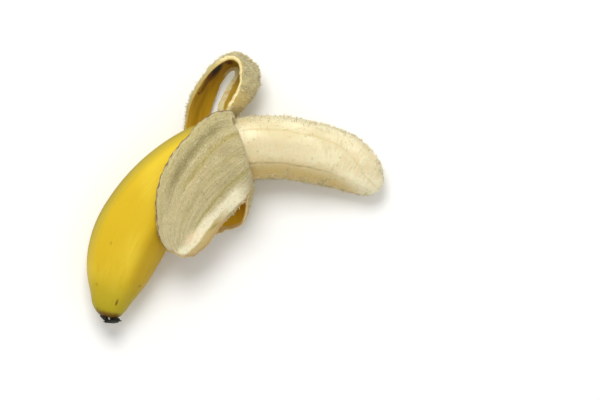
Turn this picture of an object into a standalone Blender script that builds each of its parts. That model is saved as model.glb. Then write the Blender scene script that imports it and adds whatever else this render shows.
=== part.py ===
"""A partly peeled banana, resting on its side.

The closed part of the peel is a sleeve round a curved centreline. At its mouth the sleeve tears into three
strips: a wide one folded back over the top, one that loops out on the outer side of the curve, and one that is
folded back underneath. The flesh runs through the sleeve and on to its own blunt tip. The black dried flower sits
on the closed end.

Millimetres in the values below, metres in the scene. +Z is up, and the banana lies on the plane z = 0.
"""

import math

import bpy
import numpy as np

MM = 0.001
CENTRE = (-0.34, 0.35, 0.0)  # the middle of the object's box in the values below, moved to the scene's origin
ROUGHNESS = 0.5

# The peel
PEEL_THICKNESS = 2.7
SIDES = 36  # round the sleeve and the flesh
MOUTH = 110.0  # how far along the centreline the sleeve ends
ROW_SPACING = 5.0
ROWS_PER_STATION = 3  # rows of a strip between two of its stations
STRIP_CLEARANCE = 0.6  # between a folded strip and the sleeve

# A banana has five soft ridges. The first one shows on the upper face, towards the inner side of the curve.
RIDGES = 5
RIDGE_ANGLE = math.radians(-27.0)
RIDGE_HEIGHT = 0.02  # as a share of the radius

# The sides at which each strip starts and ends on the mouth. Side 0 is on top, and the count goes to the outer
# side of the curve. One side is left free between two strips, at the foot of each tear.
WIDE_ROOT = (-7, 7)
LOOP_ROOT = (8, 15)
UNDER_ROOT = (16, 28)

# The middle line of the fruit from the closed end to the tip of the flesh. It rises over the strip folded
# underneath.
CENTRELINE = [
    (-63.2, -64.5, 16.5),
    (-59.5, -43.3, 17.0),
    (-55.0, -29.2, 18.4),
    (-47.9, -15.7, 20.0),
    (-33.2, 1.2, 21.9),
    (-15.0, 13.3, 22.8),
    (6.8, 19.9, 22.4),
    (20.5, 20.6, 20.9),
    (38.0, 18.0, 17.9),
    (51.5, 14.3, 14.3),
    (60.7, 9.1, 13.0),
    (68.7, 1.7, 12.2),
    (74.1, -3.7, 11.4),
]

# Profiles as (distance along the centreline, radius)
SLEEVE_PROFILE = [
    (-0.3, 0.0),
    (-0.1, 3.0),
    (0.8, 5.2),
    (3.0, 7.3),
    (10.0, 10.8),
    (20.0, 15.2),
    (36.0, 18.5),
    (52.0, 19.0),
]
FLESH_START = [(4.5, 0.0), (4.8, 2.0), (7.0, 4.6), (10.0, 6.9), (20.0, 11.8), (36.0, 15.1), (52.0, 15.7)]
FLESH_END = [
    (112.0, 15.7),
    (130.0, 15.7),
    (150.0, 15.2),
    (162.0, 14.5),
    (170.0, 13.7),
    (177.0, 12.0),
    (183.0, 9.5),
    (187.5, 6.3),
    (190.0, 3.9),
    (191.2, 0.0),
]

# Each strip is a row of stations. A station is some points of its skin, from one edge to the other.
WIDE_STRIP = [
    [(6.8, 1.0, 31.5), (2.0, 18.8, 43.8), (-4.0, 37.0, 31.0)],
    [(5.2, -1.5, 33.5), (-0.2, 17.0, 45.5), (-8.8, 36.5, 34.5)],
    [(2.8, -6.0, 33.0), (-6.2, 12.5, 44.0), (-15.2, 33.5, 36.5)],
    [(-2.2, -11.0, 30.5), (-14.2, 6.0, 42.5), (-22.8, 25.2, 37.5)],
    [(-6.8, -16.0, 28.5), (-21.2, -2.0, 41.0), (-30.3, 15.6, 39.0)],
    [(-10.8, -21.5, 28.0), (-26.2, -10.5, 38.8), (-36.2, 5.0, 40.2)],
    [(-13.8, -26.5, 27.5), (-29.2, -20.0, 36.5), (-39.3, -7.5, 40.4)],
    [(-18.0, -30.0, 27.0), (-29.8, -27.5, 33.5), (-39.0, -20.0, 37.5)],
    [(-21.8, -32.5, 27.5), (-28.5, -33.0, 31.0), (-35.0, -29.5, 34.0)],
]
LOOP_STRIP = [
    [(-5.0, 38.8, 26.4), (-3.2, 38.0, 16.8), (-2.5, 29.6, 5.2)],
    [(-3.0, 43.0, 27.2), (2.0, 41.4, 17.0), (-7.6, 36.2, 4.8)],
    [(0.2, 48.5, 28.0), (6.2, 47.0, 17.0), (-8.6, 41.4, 5.8)],
    [(2.2, 54.5, 28.0), (9.3, 55.0, 17.0), (-4.8, 50.0, 6.5)],
    [(2.0, 60.0, 28.0), (7.3, 60.3, 17.0), (-0.8, 56.5, 6.5)],
    [(-1.8, 64.0, 27.5), (-0.5, 64.3, 16.5), (-2.4, 58.5, 6.5)],
    [(-8.8, 61.0, 26.0), (-8.0, 59.0, 15.5), (-6.6, 53.5, 6.0)],
    [(-15.2, 54.5, 23.5), (-13.0, 52.0, 13.5), (-9.8, 47.0, 5.0)],
    [(-20.4, 46.0, 19.5), (-16.6, 44.0, 11.0), (-12.2, 40.0, 4.0)],
    [(-23.4, 38.0, 14.5), (-19.0, 36.5, 8.5), (-14.2, 34.5, 3.2)],
    [(-25.0, 28.5, 8.5), (-20.2, 29.0, 5.5), (-16.0, 29.5, 2.5)],
]
UNDER_STRIP = [
    [(0.8, 24.0, 4.2), (3.9, 13.0, 3.9), (6.6, 2.5, 11.5), (6.8, -1.0, 25.0)],
    [(-0.4, 22.8, 2.8), (3.2, 11.0, 2.8), (6.2, -2.0, 6.5), (5.5, -5.0, 22.0)],
    [(-4.8, 20.0, 2.7), (-1.0, 7.0, 2.7), (3.0, -6.0, 4.2), (4.7, -11.5, 16.5)],
    [(-11.0, 15.5, 2.7), (-7.5, 3.0, 2.7), (-2.5, -10.0, 3.2), (2.5, -18.0, 9.6)],
    [(-17.0, 9.5, 2.7), (-14.0, -2.5, 2.7), (-9.5, -14.0, 2.7), (-4.6, -21.0, 5.8)],
    [(-22.5, 2.0, 2.7), (-20.0, -8.0, 2.7), (-16.5, -18.0, 2.7), (-12.5, -23.5, 3.4)],
    [(-26.5, -6.0, 2.7), (-25.5, -12.5, 2.7), (-23.0, -20.0, 2.7), (-19.5, -25.0, 2.7)],
    [(-28.5, -10.5, 2.7), (-28.0, -14.0, 2.7), (-26.5, -18.5, 2.7), (-24.0, -22.0, 2.7)],
]

# The dried flower on the closed end: a low disc with a ragged rim, thicker towards the outer side of the curve
TIP_RADIUS = 4.6
TIP_HEIGHT = 1.5
TIP_LUMP = 0.5
TIP_PROFILE = [(0.0, 0.75), (0.35, 1.0), (0.75, 0.92), (1.0, 0.6)]  # share of the height, share of the radius
TIP_SIDES = 18
RAGGED = [(5, 0.6, 0.10), (9, 0.0, 0.06)]  # waves round the rim: how many, turned by, share of the radius
GAP = 0.3  # left between pieces that touch

COLOURS = {
    "peel": (0.74, 0.52, 0.045, 1.0),
    "flesh": (0.86, 0.76, 0.50, 1.0),
    "blossom_tip": (0.035, 0.025, 0.02, 1.0),
}


def through(points, where, first_slope=None):
    """Points on the smooth curve through some rows of points.

    The curve is a cubic between each two rows, with the slope at a row taken from its neighbours. Each row lies
    at its distance along the middle, and where turns the rows' own distances into those to read.
    """
    rows = np.asarray(points, float)
    middle = rows if rows.ndim == 2 else rows[:, rows.shape[1] // 2]
    steps = np.linalg.norm(np.diff(middle, axis=0), axis=1)
    knots = np.concatenate([[0.0], np.cumsum(steps)])
    slopes = np.gradient(rows, knots, axis=0, edge_order=2)
    if first_slope is not None:
        slopes[0] = first_slope
    at = where(knots)
    span = np.clip(np.searchsorted(knots, at, side="right") - 1, 0, len(knots) - 2)
    width = knots[span + 1] - knots[span]
    t = ((at - knots[span]) / width).reshape((-1,) + (1,) * (rows.ndim - 1))
    width = width.reshape(t.shape)
    return (
        rows[span] * (2 * t**3 - 3 * t**2 + 1)
        + rows[span + 1] * (3 * t**2 - 2 * t**3)
        + slopes[span] * width * (t**3 - 2 * t**2 + t)
        + slopes[span + 1] * width * (t**3 - t**2)
    )


def along_centreline(distance):
    """The middle, the forward direction, the outer side and the upward side at some distances along the fruit."""
    distance = np.asarray(distance, float)
    places = [through(CENTRELINE, lambda knots: distance + step) for step in (-0.2, 0.0, 0.2)]
    before, middle, after = places
    forward = after - before
    forward /= np.linalg.norm(forward, axis=1)[:, None]
    outer = np.cross((0.0, 0.0, 1.0), forward)
    outer /= np.linalg.norm(outer, axis=1)[:, None]
    return middle, forward, outer, np.cross(forward, outer)


def rings(profile):
    """Rings of points round the centreline, one for each (distance, radius)."""
    distance, radius = np.asarray(profile, float).T
    middle, _, outer, upward = along_centreline(distance)
    angle = np.arange(SIDES) * 2 * math.pi / SIDES
    ridged = radius[:, None] * (1 + RIDGE_HEIGHT * np.cos(RIDGES * (angle - RIDGE_ANGLE)))
    across = np.sin(angle)[:, None] * outer[:, None] + np.cos(angle)[:, None] * upward[:, None]
    return middle[:, None] + ridged[:, :, None] * across


def even_profile(profile):
    """A profile read at a spacing that is even along its own curve, from its first point to its last one."""
    return through(profile, lambda knots: np.linspace(0.0, knots[-1], round(knots[-1] / ROW_SPACING) + 1))


def mesh_object(name, vertices, faces):
    mesh = bpy.data.meshes.new(name)
    mesh.from_pydata([tuple(v) for v in (vertices - np.array(CENTRE)) * MM], [], faces)
    mesh.update()
    return bpy.data.objects.new(name, mesh)


def grid_faces(index):
    """Quads between the neighbouring rows and columns of an array of vertex numbers."""
    corners = (index[:-1, :-1], index[1:, :-1], index[1:, 1:], index[:-1, 1:])
    return [tuple(int(c) for c in quad) for quad in np.stack(corners, axis=-1).reshape(-1, 4)]


def kept_clear(points):
    """Moves points of a strip straight away from the centreline where they would touch the sleeve or flesh."""
    distance = np.arange(0.0, FLESH_END[2][0], 0.5)
    line = along_centreline(distance)[0]
    away = points[:, :, None] - line
    length = np.linalg.norm(away, axis=-1)
    nearest = length.argmin(axis=-1)
    away = np.take_along_axis(away, nearest[:, :, None, None], axis=2)[:, :, 0]
    length = length.min(axis=-1)
    over_sleeve = SLEEVE_PROFILE[-1][1] * (1 + RIDGE_HEIGHT) + STRIP_CLEARANCE
    over_flesh = FLESH_END[1][1] * (1 + RIDGE_HEIGHT) + GAP + PEEL_THICKNESS
    least = np.where(distance[nearest] < MOUTH, over_sleeve, over_flesh)
    return line[nearest] + away * np.maximum(least / length, 1.0)[:, :, None]


def strip_rows(stations, root, lead):
    """The rows of a strip after its root row. The strip leaves the root in the lead's direction."""
    stations = np.asarray(stations, float)
    across = through(stations.swapaxes(0, 1), lambda knots: np.linspace(0.0, knots[-1], len(root)))
    controls = np.concatenate([root[None], across.swapaxes(0, 1)])

    def rows(knots):
        count = ROWS_PER_STATION * (len(knots) - 1)
        return np.interp(np.arange(count + 1) / ROWS_PER_STATION, np.arange(len(knots)), knots)

    return kept_clear(through(controls, rows, first_slope=lead)[1:])


def make_peel():
    """The sleeve and its three strips as one open surface, the skin. Solidify gives it the pith's thickness."""
    closed_end = np.asarray(SLEEVE_PROFILE[1:])
    straight = np.arange(closed_end[-1, 0] + ROW_SPACING, MOUTH, ROW_SPACING)
    distances = np.append(straight, MOUTH)
    middle_part = np.stack([distances, np.full(len(distances), closed_end[-1, 1])], axis=1)
    sleeve = rings(np.concatenate([even_profile(closed_end)[:-1], middle_part]))
    pole, forward = along_centreline([SLEEVE_PROFILE[0][0], MOUTH])[:2]
    vertices = [pole[:1], sleeve.reshape(-1, 3)]
    count = 1 + sleeve.shape[0] * SIDES
    ring_index = 1 + np.arange(count - 1).reshape(-1, SIDES)
    closed = np.concatenate([ring_index, ring_index[:, :1]], axis=1)
    faces = grid_faces(closed)
    faces += [(0, int(a), int(b)) for a, b in zip(closed[0, :-1], closed[0, 1:])]
    strips = [(WIDE_ROOT, WIDE_STRIP), (LOOP_ROOT, LOOP_STRIP), (UNDER_ROOT, UNDER_STRIP)]
    for (start, end), stations in strips:
        columns = np.arange(start, end + 1) % SIDES
        rows = strip_rows(stations, sleeve[-1][columns], forward[-1])
        new = count + np.arange(rows.shape[0] * rows.shape[1]).reshape(rows.shape[:2])
        faces += grid_faces(np.concatenate([ring_index[-1][columns][None], new]))
        vertices.append(rows.reshape(-1, 3))
        count += new.size
    peel = mesh_object("peel", np.concatenate(vertices), faces)
    thickness = peel.modifiers.new("pith", "SOLIDIFY")
    thickness.thickness = PEEL_THICKNESS * MM
    thickness.offset = -1.0
    return peel


def make_flesh():
    """The pulp: one body of rings from its hidden start in the sleeve to its blunt tip."""
    straight = np.arange(FLESH_START[-1][0] + ROW_SPACING, MOUTH, ROW_SPACING)
    middle_part = np.stack([straight, np.full(len(straight), FLESH_START[-1][1])], axis=1)
    start = even_profile(FLESH_START[1:])[:-1]
    end = even_profile(FLESH_END[:-1])
    body = rings(np.concatenate([start, middle_part, end]))
    poles = along_centreline([FLESH_START[0][0], FLESH_END[-1][0]])[0]
    index = 2 + np.arange(body.shape[0] * SIDES).reshape(-1, SIDES)
    closed = np.concatenate([index, index[:, :1]], axis=1)
    faces = grid_faces(closed)
    faces += [(0, int(a), int(b)) for a, b in zip(closed[0, :-1], closed[0, 1:])]
    faces += [(1, int(b), int(a)) for a, b in zip(closed[-1, :-1], closed[-1, 1:])]
    return mesh_object("flesh", np.concatenate([poles, body.reshape(-1, 3)]), faces)


def make_blossom_tip():
    """The dried flower, standing on the closed end."""
    middle, forward, outer, upward = along_centreline([SLEEVE_PROFILE[0][0] - GAP])
    angle = np.arange(TIP_SIDES) * 2 * math.pi / TIP_SIDES
    rim = TIP_RADIUS * (1 + sum(share * np.sin(waves * angle + turned) for waves, turned, share in RAGGED))
    top = TIP_HEIGHT + TIP_LUMP * np.sin(angle).clip(0.0)
    across = np.sin(angle)[:, None] * outer + np.cos(angle)[:, None] * upward
    height, share = np.array(TIP_PROFILE).T[:, :, None, None]
    body = middle + share * rim[:, None] * across - height * top[:, None] * forward
    poles = np.stack([middle[0], (middle - TIP_HEIGHT * forward)[0]])
    index = 2 + np.arange(body.shape[0] * TIP_SIDES).reshape(-1, TIP_SIDES)
    closed = np.concatenate([index, index[:, :1]], axis=1)
    faces = [quad[::-1] for quad in grid_faces(closed)]
    faces += [(0, int(b), int(a)) for a, b in zip(closed[0, :-1], closed[0, 1:])]
    faces += [(1, int(a), int(b)) for a, b in zip(closed[-1, :-1], closed[-1, 1:])]
    return mesh_object("blossom_tip", np.concatenate([poles, body.reshape(-1, 3)]), faces)


def press_flat(piece):
    """Applies the piece's modifiers and presses flat what would reach under the surface that it lies on."""
    evaluated = piece.evaluated_get(bpy.context.evaluated_depsgraph_get())
    mesh = bpy.data.meshes.new_from_object(evaluated)
    piece.modifiers.clear()
    piece.data = mesh
    for vertex in mesh.vertices:
        vertex.co.z = max(vertex.co.z, 0.0)


def colour(piece):
    material = bpy.data.materials.new(piece.name)
    material.use_nodes = True
    shader = material.node_tree.nodes["Principled BSDF"]
    shader.inputs["Base Color"].default_value = COLOURS[piece.name]
    shader.inputs["Roughness"].default_value = ROUGHNESS
    piece.data.materials.append(material)


def main():
    for old in list(bpy.data.objects):
        bpy.data.objects.remove(old)
    banana = bpy.data.collections.new("banana")
    bpy.context.scene.collection.children.link(banana)
    for make in (make_peel, make_flesh, make_blossom_tip):
        piece = make()
        banana.objects.link(piece)
        press_flat(piece)
        colour(piece)
        piece.data.shade_smooth()


main()
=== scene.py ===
# %% [markdown]
# # A partly peeled banana from numpy surfaces
#
# The banana lies on its side on a pale table. Half of its peel is still closed, the rest is torn into three
# strips, and the flesh runs out between them. Every surface is worked out as a grid of points with numpy,
# then given to Blender as a mesh. This first cell loads the measured frame: the plain solids that the looks
# are built around.

# %% Load the frame
import math

import bpy
import numpy as np
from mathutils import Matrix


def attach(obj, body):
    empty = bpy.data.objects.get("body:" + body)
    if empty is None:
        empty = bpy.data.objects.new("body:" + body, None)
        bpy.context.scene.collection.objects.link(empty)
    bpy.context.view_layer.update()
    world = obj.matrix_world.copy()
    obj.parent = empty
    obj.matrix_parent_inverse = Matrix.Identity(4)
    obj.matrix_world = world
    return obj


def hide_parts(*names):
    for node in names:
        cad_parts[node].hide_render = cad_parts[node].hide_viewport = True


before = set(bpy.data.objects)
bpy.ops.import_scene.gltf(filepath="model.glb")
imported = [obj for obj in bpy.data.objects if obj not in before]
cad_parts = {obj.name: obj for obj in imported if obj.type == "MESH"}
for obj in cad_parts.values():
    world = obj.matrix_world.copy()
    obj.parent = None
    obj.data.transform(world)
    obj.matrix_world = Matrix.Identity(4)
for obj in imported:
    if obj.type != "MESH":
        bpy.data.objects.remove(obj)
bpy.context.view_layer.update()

MM = 0.001

# %% [markdown]
# ## The fruit's middle line
#
# A banana is a bent rod, so everything hangs on one curved line from the closed end to the flesh's tip. A
# Bezier curve could draw it, but a few measured points with a cubic between each two give the same line as
# plain numbers, which can be read at any distance. Values are in millimetres; the last step of each mesh
# moves them to the frame's origin and makes them metres.

# %% The middle line and a smooth curve through any rows of points
CENTRE = np.array((-0.34, 0.35, 0.0))
CENTRELINE = np.array([
    (-63.2, -64.5, 16.5), (-59.5, -43.3, 17.0), (-55.0, -29.2, 18.4), (-47.9, -15.7, 20.0),
    (-33.2, 1.2, 21.9), (-15.0, 13.3, 22.8), (6.8, 19.9, 22.4), (20.5, 20.6, 20.9), (38.0, 18.0, 17.9),
    (51.5, 14.3, 14.3), (60.7, 9.1, 13.0), (68.7, 1.7, 12.2), (74.1, -3.7, 11.4),
])


def unit(vectors):
    """The vectors, each scaled to length 1."""
    return vectors / np.linalg.norm(vectors, axis=-1)[..., None]


def smooth_curve(rows, where, first_slope=None):
    """A cubic between each two rows, with each row's slope taken from its neighbours.

    Each row lies at its distance along the middle column. The function where turns those distances into the
    ones to read.
    """
    rows = np.asarray(rows, float)
    middle = rows if rows.ndim == 2 else rows[:, rows.shape[1] // 2]
    knots = np.concatenate([[0.0], np.cumsum(np.linalg.norm(np.diff(middle, axis=0), axis=1))])
    slopes = np.gradient(rows, knots, axis=0, edge_order=2)
    if first_slope is not None:
        slopes[0] = first_slope
    at = where(knots)
    span = np.clip(np.searchsorted(knots, at, side="right") - 1, 0, len(knots) - 2)
    width = knots[span + 1] - knots[span]
    t = ((at - knots[span]) / width).reshape((-1,) + (1,) * (rows.ndim - 1))
    width = width.reshape(t.shape)
    return (
        rows[span] * (2 * t**3 - 3 * t**2 + 1) + rows[span + 1] * (3 * t**2 - 2 * t**3)
        + slopes[span] * width * (t**3 - 2 * t**2 + t) + slopes[span + 1] * width * (t**3 - t**2)
    )


def fruit_line(distance):
    """The middle and the forward, outer and upward directions at some distances along the fruit."""
    distance = np.asarray(distance, float)
    before, middle, after = [smooth_curve(CENTRELINE, lambda knots: distance + d) for d in (-0.2, 0.0, 0.2)]
    forward = unit(after - before)
    outer = unit(np.cross((0.0, 0.0, 1.0), forward))
    return middle, forward, outer, np.cross(forward, outer)


line_length = np.linalg.norm(np.diff(CENTRELINE, axis=0), axis=1).sum()
print("length of the middle line:", round(float(line_length)), "mm")

# %% [markdown]
# ## Unevenness
#
# Nothing that grew is exact, so edges, fibres and flesh need small uneven heights. Blender's noise textures
# live in shaders and modifiers. Here the same kind of noise is worked out in numpy, because the torn edges
# move by it before any mesh exists.

# %% Smooth noise on a lattice
LATTICE = np.random.default_rng(7).uniform(-1.0, 1.0, (24, 24, 24))


def soft_noise(place, size):
    """Smooth heights from -1 to 1: each point takes the eased mean of the eight lattice values round it."""
    place = np.asarray(place, float) / size + 100.0
    cell = np.floor(place).astype(int)
    part = place - cell
    part = part * part * (3 - 2 * part)
    total = 0.0
    for corner in np.ndindex(2, 2, 2):
        weight = np.where(corner, part, 1 - part).prod(axis=-1)
        x, y, z = np.moveaxis((cell + corner) % len(LATTICE), -1, 0)
        total = total + weight * LATTICE[x, y, z]
    return total


def bell(value, middle, width):
    """1 at the middle, falling softly to 0 about two widths away."""
    return np.exp(-(((value - middle) / width) ** 2))


def ease(value, low, high):
    """0 below low and 1 above high, with a smooth step between."""
    t = np.clip((value - low) / (high - low), 0.0, 1.0)
    return t * t * (3 - 2 * t)


# %% [markdown]
# ## The closed part of the peel
#
# The sleeve is a ring carried along the middle line. Its radius grows from the closed end and then stays
# the same. A banana isn't round: five soft ridges run along it, so the radius rises a little at five
# angles, sharpened slightly into soft corners between flatter faces.

# %% Rings round the middle line
SIDES = 288
MOUTH = 110.0
RIDGES = 5
RIDGE_ANGLE = math.radians(-27.0)
SLEEVE_PROFILE = [(-0.1, 3.0), (0.8, 5.2), (3.0, 7.3), (10.0, 10.8), (20.0, 15.2), (36.0, 18.5), (52.0, 19.0)]
SLEEVE_POLE = -0.3
ANGLES = np.arange(SIDES) * 2 * math.pi / SIDES


def rings(profile, ridge_height=0.02, sharper=0.35):
    """Points at middle + radius x (sin(angle) outer + cos(angle) upward), the radius raised on the ridges."""
    distance, radius = np.asarray(profile, float).T
    middle, _, outer, upward = fruit_line(distance)
    turn = RIDGES * (ANGLES - RIDGE_ANGLE)
    radius = radius[:, None] * (1 + ridge_height * (np.cos(turn) + sharper * np.cos(2 * turn)))
    across = np.sin(ANGLES)[:, None] * outer[:, None] + np.cos(ANGLES)[:, None] * upward[:, None]
    return middle[:, None] + radius[:, :, None] * across


def even_profile(profile, spacing):
    """A profile read at a spacing that is even along its own curve."""
    return smooth_curve(profile, lambda knots: np.linspace(0.0, knots[-1], round(knots[-1] / spacing) + 1))


ROW_MM = 1.9
straight = np.arange(SLEEVE_PROFILE[-1][0] + ROW_MM, MOUTH - ROW_MM / 2, ROW_MM)
straight = np.append(straight, MOUTH)
sleeve_profile = np.concatenate([
    even_profile(SLEEVE_PROFILE, ROW_MM),
    np.stack([straight, np.full(len(straight), SLEEVE_PROFILE[-1][1])], axis=1),
])
END_SLANT, END_SHIFT = 0.12, 0.8


def slanted(points, distance):
    """Points near the closed end, moved outwards a little and forward by a share of how far out they are."""
    middle, forward, outer, _ = fruit_line([SLEEVE_POLE])
    aside = ((points - middle) * outer).sum(axis=-1)
    onwards = END_SLANT * aside * (1 - ease(distance, 1.0, 9.0))
    outwards = END_SHIFT * (1 - ease(distance, 3.0, 12.0))
    return points + onwards[..., None] * forward + outwards[..., None] * outer


sleeve = slanted(rings(sleeve_profile), sleeve_profile[:, :1])
print("sleeve grid:", sleeve.shape[:2])

# %% [markdown]
# ## The torn strips
#
# Peeling tears the skin lengthwise, and each strip bends over where the sleeve ends. A curve modifier could
# bend a strip, but here each one is lofted: a row of stations holds a few points of the skin from edge to
# edge, a cubic runs through them both ways, and the first row is the sleeve's own rim, so skin and strip
# stay one piece. A strip that would cut into the fruit is pushed away from the middle line.

# %% Stations of the three strips, then their grids
WIDE = dict(root=(-7, 7), stations=[
    [(6.8, 1, 31.5), (2, 18.8, 43.8), (-4, 37, 31)],
    [(5.2, -1.5, 33.5), (-0.2, 17, 45.5), (-8.8, 36.5, 34.5)],
    [(2.8, -6, 33), (-6.2, 12.5, 44), (-15.2, 33.5, 36.5)],
    [(-2.2, -11, 30.5), (-14.2, 6, 42.5), (-22.8, 25.2, 37.5)],
    [(-6.8, -16, 28.5), (-21.2, -2, 41), (-30.3, 15.6, 39)],
    [(-10.8, -21.5, 28), (-26.2, -10.5, 38.8), (-36.2, 5, 40.2)],
    [(-13.8, -26.5, 27.5), (-29.2, -20, 36.5), (-39.3, -7.5, 40.4)],
    [(-18, -30, 27), (-29.8, -27.5, 33.5), (-39, -20, 37.5)],
    [(-21.8, -32.5, 27.5), (-28.5, -33, 31), (-35, -29.5, 34)],
])
LOOP = dict(root=(8, 15), stations=[
    [(-5, 38.8, 26.4), (-3.2, 38, 16.8), (-2.5, 29.6, 5.2)],
    [(-3, 43, 27.2), (2, 41.4, 17), (-7.6, 36.2, 4.8)],
    [(0.2, 48.5, 28), (6.2, 47, 17), (-8.6, 41.4, 5.8)],
    [(2.2, 54.5, 28), (9.3, 55, 17), (-4.8, 50, 6.5)],
    [(2, 60, 28), (7.3, 60.3, 17), (-0.8, 56.5, 6.5)],
    [(-1.8, 64, 27.5), (-0.5, 64.3, 16.5), (-2.4, 58.5, 6.5)],
    [(-8.8, 61, 26), (-8, 59, 15.5), (-6.6, 53.5, 6)],
    [(-15.2, 54.5, 23.5), (-13, 52, 13.5), (-9.8, 47, 5)],
    [(-20.4, 46, 19.5), (-16.6, 44, 11), (-12.2, 40, 4)],
    [(-23.4, 38, 14.5), (-19, 36.5, 8.5), (-14.2, 34.5, 3.2)],
    [(-25, 28.5, 8.5), (-20.2, 29, 5.5), (-16, 29.5, 2.5)],
])
UNDER = dict(root=(16, 28), stations=[
    [(0.8, 24, 4.2), (3.9, 13, 3.9), (6.6, 2.5, 11.5), (6.8, -1, 25)],
    [(-0.4, 22.8, 2.8), (3.2, 11, 2.8), (6.2, -2, 6.5), (5.5, -5, 22)],
    [(-4.8, 20, 2.7), (-1, 7, 2.7), (3, -6, 4.2), (4.7, -11.5, 16.5)],
    [(-11, 15.5, 2.7), (-7.5, 3, 2.7), (-2.5, -10, 3.2), (2.5, -18, 9.6)],
    [(-17, 9.5, 2.7), (-14, -2.5, 2.7), (-9.5, -14, 2.7), (-4.6, -21, 5.8)],
    [(-22.5, 2, 2.7), (-20, -8, 2.7), (-16.5, -18, 2.7), (-12.5, -23.5, 3.4)],
    [(-26.5, -6, 2.7), (-25.5, -12.5, 2.7), (-23, -20, 2.7), (-19.5, -25, 2.7)],
    [(-28.5, -10.5, 2.7), (-28, -14, 2.7), (-26.5, -18.5, 2.7), (-24, -22, 2.7)],
])
STRIPS = {"wide": WIDE, "loop": LOOP, "under": UNDER}
COLUMNS_PER_SIDE = SIDES // 36
ROWS_PER_STATION = 12
PEEL_MM = 2.7
STRIP_CLEARANCE = 0.6
FLESH_RADIUS = 15.9
GAP = 0.3
RIDGE_SHARE = 1.02


def kept_clear(points):
    """Points moved straight away from the middle line where they would touch the sleeve or the flesh."""
    distance = np.arange(0.0, 155.0, 0.5)
    line = fruit_line(distance)[0]
    away = points[:, :, None] - line
    length = np.linalg.norm(away, axis=-1)
    nearest = length.argmin(axis=-1)
    away = np.take_along_axis(away, nearest[:, :, None, None], axis=2)[:, :, 0]
    over_sleeve = SLEEVE_PROFILE[-1][1] * RIDGE_SHARE + STRIP_CLEARANCE
    over_flesh = FLESH_RADIUS * RIDGE_SHARE + GAP + PEEL_MM
    least = np.where(distance[nearest] < MOUTH, over_sleeve, over_flesh)
    return line[nearest] + away * np.maximum(least / length.min(axis=-1), 1.0)[:, :, None]


def strip_grid(strip):
    """The strip's columns on the sleeve's rim, and its points as rows by columns, the rim first."""
    start, end = strip["root"]
    columns = np.arange(start * COLUMNS_PER_SIDE, end * COLUMNS_PER_SIDE + 1) % SIDES
    root = sleeve[-1][columns]
    stations = np.asarray(strip["stations"], float)
    across = smooth_curve(stations.swapaxes(0, 1), lambda knots: np.linspace(0.0, knots[-1], len(root)))
    controls = np.concatenate([root[None], across.swapaxes(0, 1)])

    def rows(knots):
        count = ROWS_PER_STATION * (len(knots) - 1)
        return np.interp(np.arange(count + 1) / ROWS_PER_STATION, np.arange(len(knots)), knots)

    lead = fruit_line([MOUTH])[1][0]
    grid = smooth_curve(controls, rows, first_slope=lead)
    return columns, np.concatenate([root[None], kept_clear(grid[1:])])


def steps_along(grid, axis):
    """The length run so far from the first row or column, measured on the surface."""
    step = np.linalg.norm(np.diff(grid, axis=axis), axis=-1)
    start = np.zeros_like(step[:1] if axis == 0 else step[:, :1])
    return np.concatenate([start, np.cumsum(step, axis=axis)], axis=axis)


for name, strip in STRIPS.items():
    strip["columns"], strip["grid"] = strip_grid(strip)
    print(name, "strip grid:", strip["grid"].shape[:2])

# %% [markdown]
# ## Torn edges
#
# A tear never runs straight: it wanders between the fibres. A boolean cut would leave slivers, so the
# outermost columns move in and out by the noise, fading to nothing a few millimetres in. A strip's free end
# is torn across its fibres and is rougher.

# %% Wander of the edges
EDGE_FADE = 2.5
EDGE_WANDER = 0.45
END_WANDER = 1.3


def torn(grid):
    """The grid with its side edges moved along the rows, and its end along the columns, by soft noise."""
    run, width = steps_along(grid, 0), steps_along(grid, 1)
    across, along = unit(np.gradient(grid, axis=1)), unit(np.gradient(grid, axis=0))
    from_first, from_last, from_end = width, width[:, -1:] - width, run[-1:] - run
    wander = soft_noise(grid, 2.6) + 0.6 * soft_noise(grid, 1.1)
    settled = ease(run, 2.0, 8.0)
    side = np.exp(-from_first / EDGE_FADE) + np.exp(-from_last / EDGE_FADE)
    end = np.exp(-from_end / EDGE_FADE)
    moved = grid + (EDGE_WANDER * wander * side * settled)[..., None] * across
    return moved + (END_WANDER * wander * end)[..., None] * along


for strip in STRIPS.values():
    strip["grid"] = torn(strip["grid"])

# %% [markdown]
# ## One skin
#
# Sleeve and strips are one list of points and faces, as they are one skin on the fruit. Each point also
# keeps where it sat before peeling and how far it is from a torn edge. The materials read both, so a streak
# runs on from the sleeve into a strip.

# %% Join the grids
SLEEVE = 0  # each skin point's part: the sleeve, or the strips from 1 to 3


def grid_faces(index):
    """Quads between the neighbouring rows and columns of an array of point numbers."""
    corners = (index[:-1, :-1], index[1:, :-1], index[1:, 1:], index[:-1, 1:])
    return np.stack(corners, axis=-1).reshape(-1, 4)


def wrapped(index):
    """Rows of point numbers with the first column once more at the end, so that rings close."""
    return np.concatenate([index, index[:, :1]], axis=1)


def fan(pole, ring):
    """Triangles between a pole and each two neighbours in a ring."""
    return np.stack([np.full(len(ring) - 1, pole), ring[:-1], ring[1:]], axis=1)


def unpeeled(distance, radius, angle):
    """Where a point sat before peeling: the distance along the fruit, then sideways and upwards."""
    distance, radius, angle = np.broadcast_arrays(distance, radius, angle)
    return np.stack([distance, radius * np.sin(angle), radius * np.cos(angle)], axis=-1)


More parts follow.
